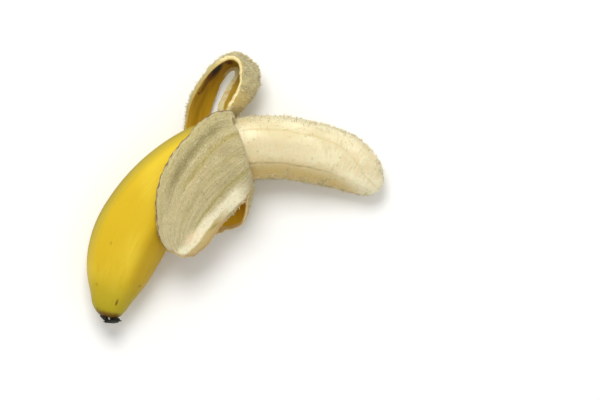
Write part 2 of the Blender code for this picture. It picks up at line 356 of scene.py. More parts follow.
pole = slanted(fruit_line([SLEEVE_POLE])[0], np.zeros(1))
points = [pole, sleeve.reshape(-1, 3)]
origin = [
    np.array([[SLEEVE_POLE, 0.0, 0.0]]),
    unpeeled(sleeve_profile[:, :1], sleeve_profile[:, 1:], ANGLES).reshape(-1, 3),
]
count = 1 + sleeve.shape[0] * SIDES
sleeve_index = 1 + np.arange(count - 1).reshape(-1, SIDES)
closed = wrapped(sleeve_index)
quads = [grid_faces(closed)]
FAR = 50.0
measures = [np.repeat([[0.0, FAR, FAR, FAR, SLEEVE]], count, axis=0)]
for kind, strip in enumerate(STRIPS.values(), SLEEVE + 1):
    grid = strip["grid"]
    length, width = steps_along(grid, 0), steps_along(grid, 1)
    new = count + np.arange(grid[1:, :, 0].size).reshape(grid[1:].shape[:2])
    quads.append(grid_faces(np.concatenate([sleeve_index[-1][strip["columns"]][None], new])))
    angle = ANGLES[strip["columns"]]
    points.append(grid[1:].reshape(-1, 3))
    origin.append(unpeeled(MOUTH + length[1:], SLEEVE_PROFILE[-1][1], angle).reshape(-1, 3))
    row = [length, length[-1:] - length, width, width[:, -1:] - width, np.full(width.shape, kind)]
    measures.append(np.stack(row, axis=-1)[1:].reshape(-1, len(row)))
    count += new.size
skin, origin, quads = [np.concatenate(arrays) for arrays in (points, origin, quads)]
run, end_gap, first, last, part = np.concatenate(measures).T.copy()
cap = fan(0, closed[0])
print("skin:", len(skin), "points,", len(quads) + len(cap), "faces")

# %% [markdown]
# ## The pith
#
# Solidify would give the peel one even thickness, but its pale inner side is what the camera sees most of:
# it has a raised lip along a torn edge, a groove beside it, long bands of fibre and a cottony surface. So
# it is worked out point by point: skin minus normal times a thickness that carries this relief.

# %% The relief of the pith
def point_normals(points, quads, triangles):
    """For each point, the mean direction of the faces round it, weighted by their size."""
    total = np.zeros_like(points)
    for faces, (a, b, c, d) in ((quads, (0, 2, 1, 3)), (triangles, (0, 1, 0, 2))):
        face = np.cross(points[faces[:, b]] - points[faces[:, a]], points[faces[:, d]] - points[faces[:, c]])
        for corner in range(faces.shape[1]):
            np.add.at(total, faces[:, corner], face)
    return unit(total)


normals = point_normals(skin, quads, cap)
share = first / (first + last)
on_wide, on_loop, on_under = [(part == kind).astype(float) for kind in (1, 2, 3)]
near_edge = np.minimum(np.minimum(first, last), end_gap)

WIDE_LIP, WIDE_GROOVE = 3.5, 8.6
lip = bell(last, WIDE_LIP, 1.8) * on_wide * ease(end_gap, 2.0, 14.0)
groove = bell(last, WIDE_GROOVE, 2.7) * on_wide * ease(end_gap, 18.0, 44.0) * ease(run, 4.0, 14.0)
vein = bell(share, 0.66, 0.024) * ease(end_gap, 30.0, 42.0) + 0.5 * bell(share, 0.48, 0.014)
vein = (vein + 0.9 * bell(share, 0.29, 0.019)) * on_wide * ease(end_gap, 1.0, 6.0)
uneven = first + 0.9 * soft_noise(origin * (0.2, 1.0, 1.0), 3.0)
bright = ease(uneven, 0.8, 3.0) * (1 - ease(uneven, 8.6, 12.6)) * on_wide * ease(run, 6.0, 16.0)
fibre_place = origin * np.array((0.12, 1.0, 1.0))
fibres = soft_noise(fibre_place, 1.3) + 0.5 * soft_noise(fibre_place, 0.6)
cotton = soft_noise(skin, 1.7) + 0.9 * soft_noise(skin + 40.0, 0.9)
left_limb = on_loop * ease(run, 34.0, 46.0)
woolly = on_loop * (0.25 + 0.75 * ease(run, 12.0, 22.0))
thin_edge = 0.35 * on_wide + (0.5 + 0.5 * left_limb) * on_loop + 1.7 * on_under
thickness = (
    PEEL_MM
    + (0.40 * lip - 0.55 * groove - 0.16 * vein + 0.25 * bright)
    + 0.03 * fibres * on_wide
    + 0.42 * cotton * woolly
    + 0.12 * cotton * on_wide
    - thin_edge * np.exp(-near_edge / 1.1)
)
thickness = np.where(part == SLEEVE, PEEL_MM - 0.05, thickness)
pith = skin - normals * thickness[:, None]
print("pith from", round(float(thickness.min()), 2), "to", round(float(thickness.max()), 2), "mm thick")

# %% [markdown]
# ## Closing the rim
#
# Between skin and pith the torn edge shows as a rim of its own. The border of the skin is found by
# counting: an edge that belongs to one face alone lies on the border. From each border point a short
# rounded row of points runs over to the pith.

# %% The torn rim, as rounded rows from skin to pith
RIM_ROWS = 4
RIM_BULGE = 0.35


def border_edges(faces):
    """The edges, in their face's direction, whose reverse belongs to no face."""
    edges = np.stack([faces, np.roll(faces, -1, axis=1)], axis=-1).reshape(-1, 2)
    size = faces.max() + 1
    code, reverse = edges[:, 0] * size + edges[:, 1], edges[:, 1] * size + edges[:, 0]
    return edges[~np.isin(code, reverse)]


edges = border_edges(quads)
edges = edges[~np.isin(edges, cap[:, 1:]).all(axis=1)]
border = np.unique(edges)
place = np.zeros(len(skin), int)
place[border] = np.arange(len(border))
tangent = np.zeros_like(skin)
for end in (0, 1):
    np.add.at(tangent, edges[:, end], skin[edges[:, 1]] - skin[edges[:, 0]])
outwards = unit(np.cross(tangent[border], normals[border]))
shares = np.arange(1, RIM_ROWS) / RIM_ROWS
rough = 1 + 0.6 * soft_noise(skin[border], 1.0)
rim = (
    skin[border] * (1 - shares)[:, None, None] + pith[border] * shares[:, None, None]
    + outwards * (RIM_BULGE * np.sin(math.pi * shares)[:, None] * rough)[..., None]
)
rows = [border] + [2 * len(skin) + k * len(border) + np.arange(len(border)) for k in range(RIM_ROWS - 1)]
rows.append(len(skin) + border)
here, there = place[edges].T
rim_quads = np.concatenate([
    np.stack([low[there], low[here], high[here], high[there]], axis=1)
    for low, high in zip(rows[:-1], rows[1:])
])
peel_points = np.concatenate([skin, pith, rim.reshape(-1, 3)])
peel_points[:, 2] = np.maximum(peel_points[:, 2], 0.0)
print("rim:", len(border), "border points,", len(rim_quads), "faces")

# %% [markdown]
# ## From arrays to a mesh
#
# foreach_set copies whole arrays into Blender at once, far quicker than point by point. The extra numbers
# go along as attributes for the materials. Each piece sits at the origin with its place in its mesh, and
# rides on the frame's one body.

# %% Helpers that make a piece
def make_mesh(name, points, faces, attributes=None, groups=None):
    """A mesh object from points in mm and arrays of faces; groups gives each array's material number."""
    mesh = bpy.data.meshes.new(name)
    mesh.vertices.add(len(points))
    mesh.vertices.foreach_set("co", ((points - CENTRE) * MM).astype(np.float32).ravel())
    corners = np.concatenate([f.ravel() for f in faces])
    sizes = np.concatenate([np.full(len(f), f.shape[1]) for f in faces])
    starts = np.concatenate([[0], np.cumsum(sizes)[:-1]])
    mesh.loops.add(len(corners))
    mesh.loops.foreach_set("vertex_index", corners.astype(np.int32))
    mesh.polygons.add(len(sizes))
    mesh.polygons.foreach_set("loop_start", starts.astype(np.int32))
    if groups is not None:
        number = np.concatenate([np.full(len(f), g) for f, g in zip(faces, groups)])
        mesh.polygons.foreach_set("material_index", number.astype(np.int32))
    mesh.update(calc_edges=True)
    for title, values in (attributes or {}).items():
        kind = "FLOAT_VECTOR" if values.ndim == 2 else "FLOAT"
        layer = mesh.attributes.new(title, kind, "POINT")
        layer.data.foreach_set("vector" if values.ndim == 2 else "value", values.astype(np.float32).ravel())
    mesh.shade_smooth()
    piece = bpy.data.objects.new(name, mesh)
    bpy.context.scene.collection.objects.link(piece)
    print(name, "has", len(mesh.polygons), "faces; clean:", not mesh.validate(verbose=False))
    return piece


def for_all_layers(values):
    """A value of each skin point, repeated for the pith's points and for the rim's rows."""
    return np.concatenate([values, values] + [values[border]] * (RIM_ROWS - 1))


layers = dict(
    unpeeled=origin, near_edge=near_edge, lip=lip, groove=groove, vein=vein, bright=bright, on_loop=on_loop,
    on_wide=on_wide, on_under=on_under, share=share, from_first=first, from_last=last, end_gap=end_gap,
    left_limb=left_limb, run=run,
)
attributes = {title: for_all_layers(values) for title, values in layers.items()}
attributes["depth_share"] = np.concatenate([
    np.zeros(len(skin)), np.ones(len(skin)), np.repeat(shares, len(border)),
])
peel = make_mesh(
    "banana_peel", peel_points,
    [quads, cap, quads[:, ::-1] + len(skin), cap[:, ::-1] + len(skin), rim_quads],
    attributes=attributes, groups=[0, 0, 1, 1, 2],
)
ends = np.empty(2 * len(peel.data.edges), np.int32)
peel.data.edges.foreach_get("vertices", ends)
on_border = np.zeros(len(peel_points), bool)
on_border[np.concatenate([border, len(skin) + border])] = True
crisp = on_border[ends.reshape(-1, 2)].all(axis=1)
peel.data.attributes.new("sharp_edge", "BOOLEAN", "EDGE").data.foreach_set("value", crisp)
print("crisp edges along the rim:", int(crisp.sum()))
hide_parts("peel")
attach(peel, "root")

# %% [markdown]
# ## The flesh
#
# Long segments meet in seams, and short fibres run across them. The body is a ring carried along the middle
# line like the sleeve; the seams are narrow valleys that close in on each other at the tip, and the fibres
# are a fine relief stretched round the ring.

# %% Flesh as rings with seams and fibres
FLESH_POLES = (4.5, 191.2)
FLESH_PROFILE = [
    (4.8, 2.0), (7.0, 4.6), (10.0, 6.9), (20.0, 11.8), (36.0, 15.1), (52.0, 15.7), (82.0, 15.7),
    (112.0, 15.7), (130.0, 15.7), (150.0, 15.2), (162.0, 14.5), (170.0, 13.7), (177.0, 12.0), (183.0, 9.5),
    (187.5, 6.3), (190.0, 3.9),
]
DEEPEST_SEAM = 0.26
SEAMS = {  # each seam's depth, and its angle in degrees at some distances along the fruit
    "upper": (0.16, [(80, 34), (120, 34), (150, 30), (163, 24), (172, 13), (180, 2)]),
    "lower": (DEEPEST_SEAM, [(80, -29), (120, -30), (150, -32), (170, -33), (180, -30)]),
    "faint": (0.08, [(80, 60), (140, 55), (150, 51), (165, 46), (180, 40)]),
    "hidden": (DEEPEST_SEAM, [(80, 160), (180, 170)]),
    "hidden_too": (DEEPEST_SEAM, [(80, -110), (180, -120)]),
}

flesh_profile = even_profile(FLESH_PROFILE, 1.0)
flesh_grid = rings(flesh_profile)
along = flesh_profile[:, :1]
seam = np.zeros(flesh_grid.shape[:2])
depth = np.zeros_like(seam)
for title, (deepest, course) in SEAMS.items():
    at, degrees = np.array(course, float).T
    angle = np.radians(np.interp(along, at, degrees)) + 0.02 * soft_noise(along[..., None] * (1, 0, 0), 4.0)
    turned = (ANGLES - angle + math.pi) % (2 * math.pi) - math.pi
    valley = bell(turned * flesh_profile[:, 1:], 0.0, 0.5) * ease(flesh_profile[:, 1:], 3.0, 9.0)
    valley = valley * (0.75 + 0.25 * soft_noise(along * (1, 0, 0), 5.0)[:, None])
    if title == "lower":
        valley = valley * (1 - 0.75 * ease(along, 148.0, 166.0))
    depth = depth + deepest * valley
    seam = np.maximum(seam, valley * deepest / DEEPEST_SEAM)
ring_place = unpeeled(along, flesh_profile[:, 1:], ANGLES)
cross_fibres = soft_noise(ring_place * (1.0, 0.22, 0.22), 0.9)
lumps = soft_noise(ring_place, 7.0)
grain = soft_noise(ring_place, 1.3)
out = unit(flesh_grid - fruit_line(along[:, 0])[0][:, None])
height = 0.14 * lumps + 0.07 * cross_fibres + 0.10 * grain - depth
shown = ease(along, MOUTH - 4.0, MOUTH + 2.0)
flesh_grid = flesh_grid + (height * shown)[..., None] * out
flesh_grid[..., 2] = np.maximum(flesh_grid[..., 2], 0.0)
flesh_closed = wrapped(2 + np.arange(seam.size).reshape(seam.shape))
flesh_origin = np.concatenate([[(pole, 0, 0) for pole in FLESH_POLES], ring_place.reshape(-1, 3)])
flesh = make_mesh(
    "banana_flesh", np.concatenate([fruit_line(FLESH_POLES)[0], flesh_grid.reshape(-1, 3)]),
    [grid_faces(flesh_closed), fan(0, flesh_closed[0]), fan(1, flesh_closed[-1, ::-1])],
    attributes=dict(unpeeled=flesh_origin, seam=np.concatenate([[0, 0], seam.ravel()])),
)
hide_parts("flesh")
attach(flesh, "root")

# %% [markdown]
# ## The dried flower
#
# At the closed end sits what is left of the flower: a black lump on the outer side, and below it a thin
# disc with a sharp rim on a short neck. Each is a ball squeezed to three half sizes and broken up by noise.
# They grew together, so they overlap in one mesh.

# %% The dried flower as three rough lenses
LENS_ROWS, LENS_SIDES = 28, 72
FLOWER_PARTS = [  # middle's X and Y, half sizes across, through and upright, turn, sharpness of the rim
    ((-61.7, -66.7), (4.2, 0.95, 4.2), 3.0, 1.0),
    ((-65.6, -64.7), (2.7, 1.35, 3.4), -34.0, 0.25),
    ((-60.6, -65.5), (2.4, 0.9, 2.6), -8.0, 0.0),
]


def rough_lens(middle, half_sizes, turn, sharpness):
    """A closed ball squeezed to its half sizes, its rim thinned by the sharpness, and turned by degrees.

    Across = half size x cos(latitude) cos(angle), upright the same with sin(angle), through = half size x
    sin(latitude) x |sin(latitude)| to the power of the sharpness. The first and last points are the poles.
    """
    latitude = np.linspace(-0.5, 0.5, LENS_ROWS)[:, None] * math.pi
    angle = np.arange(LENS_SIDES) * 2 * math.pi / LENS_SIDES
    across = half_sizes[0] * np.cos(latitude) * np.cos(angle)
    through = half_sizes[1] * np.sin(latitude) * np.abs(np.sin(latitude)) ** sharpness + 0 * angle
    upright = half_sizes[2] * np.cos(latitude) * np.sin(angle)
    c, s = math.cos(math.radians(turn)), math.sin(math.radians(turn))
    grid = np.stack([c * across - s * through, s * across + c * through, upright], axis=-1)
    points = np.concatenate([grid[0, :1], grid[1:-1].reshape(-1, 3), grid[-1, :1]]) + middle
    points = points + 0.35 * (points - middle) * soft_noise(points, 1.6)[:, None] * (1.0, 0.4, 1.0)
    points[:, 1] += 0.22 * soft_noise(points, 0.7)
    index = wrapped(1 + np.arange((LENS_ROWS - 2) * LENS_SIDES).reshape(-1, LENS_SIDES))
    caps = np.concatenate([fan(0, index[0]), fan(len(points) - 1, index[-1, ::-1])])
    return points, grid_faces(index), caps


flower_height = fruit_line([SLEEVE_POLE])[0][0, 2]
lenses = [rough_lens(np.array((*place, flower_height)), *shape) for place, *shape in FLOWER_PARTS]
starts = np.arange(len(lenses)) * len(lenses[0][0])
blossom = make_mesh(
    "dried_flower", np.concatenate([lens[0] for lens in lenses]),
    [lens[k] + start for lens, start in zip(lenses, starts) for k in (1, 2)],
)
print("dried flower", round(float(flower_height), 1), "mm above the table")
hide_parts("blossom_tip")
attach(blossom, "root")

# %% [markdown]
# ## Fuzz
#
# Loose ends of fibre on torn pith and bare flesh make the outline look soft. Hair curves would be quicker,
# but a part is handed on as plain meshes, so each fibre is a thin three-sided horn that bends over. All are
# made at once: ring number and corner number are just two more axes of one array of points.

# %% Loose fibres as bent horns
def fibre_points(feet, upwards, length, radius, random):
    """Rings at foot + length x share along a direction that tips over by chance, thinner towards the tip.

    The array has the axes fibre, ring, corner and coordinate. The last ring is almost a point.
    """
    lean = random.normal(0.0, 1.0, feet.shape)
    curl = random.normal(0.0, 1.0, feet.shape)
    shares = np.array([-0.15, 0.3, 0.65, 1.0])[:, None]
    direction = unit(upwards + 0.45 * lean)
    bent = direction[:, None] * shares + 0.35 * curl[:, None] * shares**2
    spine = feet[:, None] + length[:, None, None] * bent
    side = unit(np.cross(direction, lean + 0.01))
    other = np.cross(direction, side)
    turn = np.arange(3) * 2 * math.pi / 3
    ring = np.cos(turn)[:, None] * side[:, None] + np.sin(turn)[:, None] * other[:, None]
    widths = np.array([1.0, 0.9, 0.6, 0.15])
    return spine[:, :, None] + radius[:, None, None, None] * widths[:, None, None] * ring[:, None]


def fuzz(name, feet, upwards, longest, thickest, seed):
    """One mesh of closed, three-sided fibres, their lengths and radii drawn by chance up to the most."""
    random = np.random.default_rng(seed)
    length = random.uniform(0.35, 1.0, len(feet)) ** 1.5 * longest
    radius = random.uniform(0.6, 1.0, len(feet)) * thickest
    points = fibre_points(feet, upwards, length, radius, random)
    points[..., 2] = np.maximum(points[..., 2], 0.0)
    index = np.arange(points[..., 0].size).reshape(points.shape[:3])
    low, high = index[:, :-1], index[:, 1:]
    sides = np.stack([low, np.roll(low, -1, 2), np.roll(high, -1, 2), high], axis=-1).reshape(-1, 4)
    ends = np.concatenate([index[:, 0, ::-1], index[:, -1]])
    piece = make_mesh(name, points.reshape(-1, 3), [sides, ends])
    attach(piece, "root")
    return piece


random = np.random.default_rng(11)
PITH_FIBRES, FLESH_FIBRES = 3200, 1800
smooth_stretch = ease(run, 38.0, 42.0) * (1 - ease(run, 54.0, 60.0))
torn_share = woolly**2 * (0.4 + np.exp(-near_edge / 1.2)) * (1 - 0.92 * smooth_stretch)
torn_share = torn_share + 0.35 * on_wide * np.exp(-first / 0.8) * ease(end_gap, 20.0, 30.0)
torn_share = torn_share * (run > 3.0) * (pith[:, 2] > 1.0)
torn_share = torn_share * (0.25 + ease(soft_noise(skin, 3.2), -0.25, 0.35))
chosen = random.choice(len(skin), PITH_FIBRES, replace=False, p=torn_share / torn_share.sum())
pith_fuzz = fuzz("pith_fuzz", pith[chosen], -normals[chosen], 1.45, 0.33, 3)

sideways_share = np.abs(np.sin(ANGLES)) ** 6
bare = (0.04 + 0.96 * sideways_share) * ease(along, MOUTH + 4.0, MOUTH + 10.0) * (flesh_grid[..., 2] > 1.0)
bare = bare * (0.12 + ease(soft_noise(flesh_grid, 3.6), -0.1, 0.4))
chosen = random.choice(bare.size, FLESH_FIBRES, replace=False, p=(bare / bare.sum()).ravel())
flesh_fuzz = fuzz("flesh_fuzz", flesh_grid.reshape(-1, 3)[chosen], out.reshape(-1, 3)[chosen], 1.25, 0.28, 4)

# %% [markdown]
# ## Materials by nodes
#
# Wiring each node of a shader by hand hides what the finish does, so two small classes stand for them. A
# Value is what a node gives out, and can be added, multiplied, faded or turned into noise. A Recipe is one
# material, whose colour is painted layer over layer, as one would with glazes.

# %% Nodes as values
def feed(tree, socket, value):
    """Links a Value to a socket, or sets the socket to a number, a colour or three numbers."""
    if isinstance(value, Value):
        tree.links.new(value.socket, socket)
    else:
        socket.default_value = value


def add(tree, kind, inputs=(), **settings):
    """A new shader node with its settings, and with its inputs fed by name or number."""
    node = tree.nodes.new("ShaderNode" + kind)
    for key, value in settings.items():
        setattr(node, key, value)
    for key, value in dict(inputs).items():
        feed(tree, node.inputs[key], value)
    return node


class Value:
    """A number or a place that a node gives out. What is made of it is a new node in the same tree."""

    def __init__(self, tree, socket):
        self.tree = tree
        self.socket = socket

    def made(self, kind, inputs, output=0, **settings):
        return Value(self.tree, add(self.tree, kind, inputs, **settings).outputs[output])

    def __add__(self, other):
        return self.made("Math", {0: self, 1: other}, operation="ADD")

    def __mul__(self, other):
        return self.made("Math", {0: self, 1: other}, operation="MULTIPLY")

    def fade(self, low, high, start=0.0, end=1.0):
        """start where the value is under low, end where it is over high, and a smooth step between."""
        inputs = {"Value": self, "From Min": low, "From Max": high, "To Min": start, "To Max": end}
        return self.made("MapRange", inputs, interpolation_type="SMOOTHSTEP")

    def parts(self):
        """A place's three numbers."""
        split = add(self.tree, "SeparateXYZ", {0: self})
        return [Value(self.tree, socket) for socket in split.outputs]

    def noise(self, scale, detail=3.0, roughness=0.5, along=1.0, across=1.0):
        """Noise from 0 to 1; the place's first number is taken times along, the others times across."""
        place = self
        if (along, across) != (1.0, 1.0):
            factors = {0: self, 1: (along, across, across)}
            place = self.made("VectorMath", factors, operation="MULTIPLY")
        inputs = {"Vector": place, "Scale": scale, "Detail": detail, "Roughness": roughness}
        return self.made("TexNoise", inputs, "Fac")

    def spot(self, middle, half_sizes, turn=0.0):
        """1 in the middle of an ellipsoid at this place and 0 outside it; turn is about the upward axis."""
        turned = (0.0, 0.0, math.radians(turn))
        inputs = {"Vector": self, "Location": middle, "Rotation": turned, "Scale": half_sizes}
        moved = self.made("Mapping", inputs, vector_type="TEXTURE")
        far_out = moved.made("VectorMath", {0: moved}, "Value", operation="LENGTH")
        return far_out.fade(0.35, 1.0, 1.0, 0.0)


# %% A recipe, and the colour painted so far
MIX_SHARE, MIX_LOW, MIX_HIGH, MIX_RESULT = 0, 6, 7, 2  # a mix node's sockets when it mixes colours


class Recipe:
    """A material whose colour is painted layer over layer. Its place is in millimetres, as above."""

    def __init__(self, name, roughness):
        self.material = bpy.data.materials.new(name)
        self.material.use_nodes = True
        self.tree = self.material.node_tree
        self.shader = self.tree.nodes["Principled BSDF"]
        self.set("Roughness", roughness)
        place = Value(self.tree, add(self.tree, "TexCoord").outputs["Object"])
        inputs = {0: place, 1: (1 / MM,) * 3, 2: tuple(CENTRE)}
        self.place = place.made("VectorMath", inputs, operation="MULTIPLY_ADD")

    def set(self, name, value):
        """Feeds one of the shader's own sockets."""
        feed(self.tree, self.shader.inputs[name], value)

    def read(self, name, output="Fac"):
        """What the mesh carries under a name, as a number or as a vector."""
        return Value(self.tree, add(self.tree, "Attribute", attribute_name=name).outputs[output])

    def mix(self, share, low, high):
        """The low colour where the share is 0 and the high one where it is 1."""
        low, high = [(*colour, 1.0) if isinstance(colour, tuple) else colour for colour in (low, high)]
        inputs = {MIX_SHARE: share, MIX_LOW: low, MIX_HIGH: high}
        return share.made("Mix", inputs, MIX_RESULT, data_type="RGBA", clamp_factor=True)

    def paint(self, share, colour):
        """Lays a colour over what is there, as thickly as the share says."""
        self.colour = self.mix(share, self.colour, colour)

    def bump(self, height, depth):
        """Lets a height of 0 to 1 shade the surface as if it rose by depth mm."""
        inputs = {"Height": height, "Distance": depth * MM, "Strength": 1.0}
        self.set("Normal", height.made("Bump", inputs, "Normal"))

    def scatter(self, share, depth):
        """Lets a share of the light spread about depth mm below the surface."""
        self.set("Subsurface Weight", share)
        self.set("Subsurface Scale", depth * MM)

    def dress(self, piece):
        """Gives the painted colour to the shader, and the material to the piece."""
        self.set("Base Color", self.colour)
        piece.data.materials.append(self.material)
        print(self.material.name, "has", len(self.tree.nodes), "nodes")


# %% [markdown]
# ## Skin
#
# Ripe skin is a warm, waxy yellow, never one colour: it is greener at the closed end and carries tiny brown
# specks and a few dark marks. Towards the outer side it is greener, partly in its own tone and partly as
# painted shade, with painted shade in dark olive along the very edge; painted shade also deepens the inner
# side. The looped strip has bruised brown, and the strip underneath has dried pale along its edge.

# %% The skin's recipe
YELLOW, PALE_YELLOW, DEEP_YELLOW = (0.64, 0.43, 0.020), (0.72, 0.52, 0.038), (0.44, 0.26, 0.009)
GREENISH, EDGE_SHADE_OLIVE, LIMB_OLIVE = (0.36, 0.31, 0.018), (0.20, 0.15, 0.016), (0.34, 0.24, 0.045)
BROWN, RED_BROWN, RUBBED_BROWN = (0.13, 0.055, 0.012), (0.15, 0.040, 0.008), (0.26, 0.12, 0.010)
SHADED_GOLD, MARGIN_GOLD, UNDER_GOLD = (0.62, 0.37, 0.022), (0.66, 0.43, 0.06), (0.88, 0.55, 0.040)
BAND_CREAM, BAND_PINK, DRIED_EDGE = (0.78, 0.72, 0.38), (0.70, 0.44, 0.22), (0.80, 0.60, 0.30)
BRUISE_BLACK = (0.006, 0.004, 0.003)
MARKS = [  # middle in mm, half sizes, turn, strength
    ((-59.2, -57.1, 25.0), (0.9, 2.7, 9.0), -22.0, 0.6),
    ((-59.3, -57.4, 25.0), (0.4, 1.6, 9.0), -22.0, 0.7),
    ((-61.8, -27.5, 34.0), (1.0, 1.3, 9.0), 0.0, 0.25),
    ((-69.2, -48.0, 28.0), (0.8, 1.2, 9.0), 10.0, 0.3),
    ((-47.8, -49.0, 26.0), (1.2, 0.8, 9.0), 30.0, 0.35),
]
BRUISES = [  # the same, and the colour
    ((-10.4, 58.6, 20.0), (3.0, 10.5, 60.0), -38.0, 0.95, RED_BROWN),
    ((-9.4, 59.8, 20.0), (2.2, 5.6, 60.0), -38.0, 1.0, BRUISE_BLACK),
    ((-15.8, 50.5, 18.0), (1.3, 5.5, 60.0), -30.0, 0.6, RED_BROWN),
    ((-18.4, 47.4, 16.0), (0.8, 0.9, 60.0), 0.0, 0.8, RED_BROWN),
    ((-3.4, 63.0, 22.0), (3.6, 1.7, 60.0), -10.0, 0.8, RED_BROWN),
]

look = Recipe("banana_skin", 0.42)
before_peeling = look.read("unpeeled", "Vector")
distance_along, sideways, _ = before_peeling.parts()
large = before_peeling.noise(0.05, 2.0, along=0.5)
streaks = before_peeling.noise(0.5, 4.0, along=0.06)
look.colour = look.mix(large.fade(0.35, 0.68), YELLOW, PALE_YELLOW)
look.paint(streaks.fade(0.5, 0.85, 0.0, 0.35), DEEP_YELLOW)
# painted shade: the skin's inner side is made deeper yellow
look.paint(sideways.fade(-4.0, -12.0) * 0.65, DEEP_YELLOW)
# partly skin tone, partly painted shade: the outer side turns greener and its very edge darker olive
look.paint(sideways.fade(12.5, 18.5) * 0.58, GREENISH)
look.paint(sideways.fade(16.8, 18.9, 0.0, 0.34), EDGE_SHADE_OLIVE)
look.paint(distance_along.fade(26.0, 3.0) * 0.75, GREENISH)
look.paint((distance_along + streaks * 3.0).fade(5.4, 2.4) * 0.85, BROWN)
look.paint(look.place.noise(0.9, 2.0).fade(0.74, 0.80, 0.0, 0.6), BROWN)
for middle, half_sizes, turn, strength in MARKS:
    look.paint(look.place.spot(middle, half_sizes, turn) * strength, BROWN)

in_loop, in_left_limb, in_under = map(look.read, ("on_loop", "left_limb", "on_under"))
look.paint(in_loop * 0.9, SHADED_GOLD)
from_top = look.read("from_first") + large * 1.5
look.paint(from_top.fade(4.2, 2.4) * in_left_limb * 0.8, MARGIN_GOLD)
look.paint(in_loop * in_left_limb.fade(0.6, 0.0) * 0.6, LIMB_OLIVE)
# partly the torn edge's cream and pink, partly painted light: a pale band on the loop's right limb, which
# lies in the loop's shadow
from_bottom = look.read("from_last") + large
pale_band = from_bottom.fade(4.6, 3.6) * in_loop * in_left_limb.fade(0.99, 0.6)
blotches = look.place.noise(0.45, 3.0).fade(0.5, 0.68, 0.0, 0.7)
look.paint(pale_band, look.mix(blotches, BAND_CREAM, BAND_PINK))
look.paint(in_under * 0.9, UNDER_GOLD)
_, place_y, _ = look.place.parts()
from_edge = look.read("near_edge") + place_y.fade(-15.0, -20.0, 0.0, -1.3) + blotches * 0.5
look.paint(from_edge.fade(1.2, 0.7) * in_under * 0.85, DRIED_EDGE)
rubs = before_peeling.noise(0.22, 4.0, along=0.25)
look.paint(rubs.fade(0.45, 0.7) * 0.45 * in_loop, RUBBED_BROWN)
for middle, half_sizes, turn, strength, dark in BRUISES:
    look.paint(look.place.spot(middle, half_sizes, turn) * strength * in_loop, dark)
look.set("Roughness", streaks.fade(0.3, 0.8, 0.36, 0.5))
look.bump(look.place.noise(1.6, 4.0) + streaks, 0.12)
look.set("Specular IOR Level", 0.04)
look.dress(peel)

# %% [markdown]
# ## Pith
#
# Fresh pith is cream, but it turns grey-olive where it dries. Painted shade darkens the groove beside a torn
# lip and the wide strip towards its fold. Bands of fibre run along the strip, with rows of small dots between
# them, and the torn margins have dried tan and brown. The relief's attributes say where the groove, the veins
# and the bright band are, so colour and shape agree; the bright band's pale cream is partly its moist colour
# and partly painted light.

# %% The pith's recipe
CREAM, GREY_CREAM, BRIGHT_CREAM = (0.62, 0.52, 0.26), (0.49, 0.42, 0.205), (0.98, 0.90, 0.62)
LIP_CREAM, PINK_CREAM, FOLD_SHADE_CREAM = (0.47, 0.40, 0.165), (0.98, 0.74, 0.46), (0.38, 0.32, 0.14)
PITH_SHADE, PITH_LIGHT, DOT_BROWN = (0.26, 0.20, 0.09), (0.78, 0.69, 0.42), (0.20, 0.15, 0.06)
OLIVE, VEIN_GREEN, SKIN_BROWN = (0.24, 0.20, 0.065), (0.37, 0.30, 0.055), (0.17, 0.10, 0.03)
TAN, DRY_TAN, MARGIN_TAN = (0.58, 0.43, 0.13), (0.52, 0.37, 0.095), (0.56, 0.34, 0.13)
LOOP_GREY, LOOP_BROWN, STAIN_BROWN = (0.56, 0.51, 0.28), (0.36, 0.29, 0.14), (0.46, 0.29, 0.13)

look = Recipe("banana_pith", 0.75)
before_peeling = look.read("unpeeled", "Vector")
bands = before_peeling.noise(0.42, 4.0, along=0.07)
lines = before_peeling.noise(1.15, 3.0, 0.6, along=0.09)
grain = before_peeling.noise(1.9, 3.0, 0.75, along=0.7)
dots = before_peeling.noise(1.3, 2.0, along=0.6)
patches = look.place.noise(0.12, 3.0)
to_end, in_wide, in_bright = map(look.read, ("end_gap", "on_wide", "bright"))
look.colour = look.mix(bands.fade(0.30, 0.70, 0.2, 0.8), GREY_CREAM, CREAM)
look.paint(patches.fade(0.42, 0.65, 0.0, 0.5), GREY_CREAM)
# painted shade: the wide strip is darker towards its fold, which turns away from the light; it is lighter
# towards its free end
look.paint(to_end.fade(28.0, 52.0, 0.0, 0.4) * in_wide, FOLD_SHADE_CREAM)
look.paint(to_end.fade(24.0, 8.0, 0.0, 0.35) * in_wide, PITH_LIGHT)
look.paint(look.read("lip") * 0.7, LIP_CREAM)
# painted shade: the groove beside the torn lip is darkened olive
look.paint(look.read("groove"), OLIVE)
look.paint(look.read("vein") * 0.8, VEIN_GREEN)
look.paint(lines.fade(0.52, 0.68, 0.0, 0.30) * in_wide, PITH_SHADE)
look.paint(lines.fade(0.46, 0.32, 0.0, 0.26) * in_wide, PITH_LIGHT)
look.paint(grain.fade(0.50, 0.34, 0.0, 0.42), PITH_SHADE)
look.paint(grain.fade(0.52, 0.68, 0.0, 0.45), PITH_LIGHT)
look.paint(dots.fade(0.61, 0.70, 0.0, 0.55), DOT_BROWN)
# partly moist pith colour, partly painted light: the bright band is lifted to pale cream
look.paint(in_bright * grain.fade(0.34, 0.52, 0.72, 1.0), BRIGHT_CREAM)
look.paint(in_bright * dots.fade(0.60, 0.68, 0.0, 0.4), DOT_BROWN)

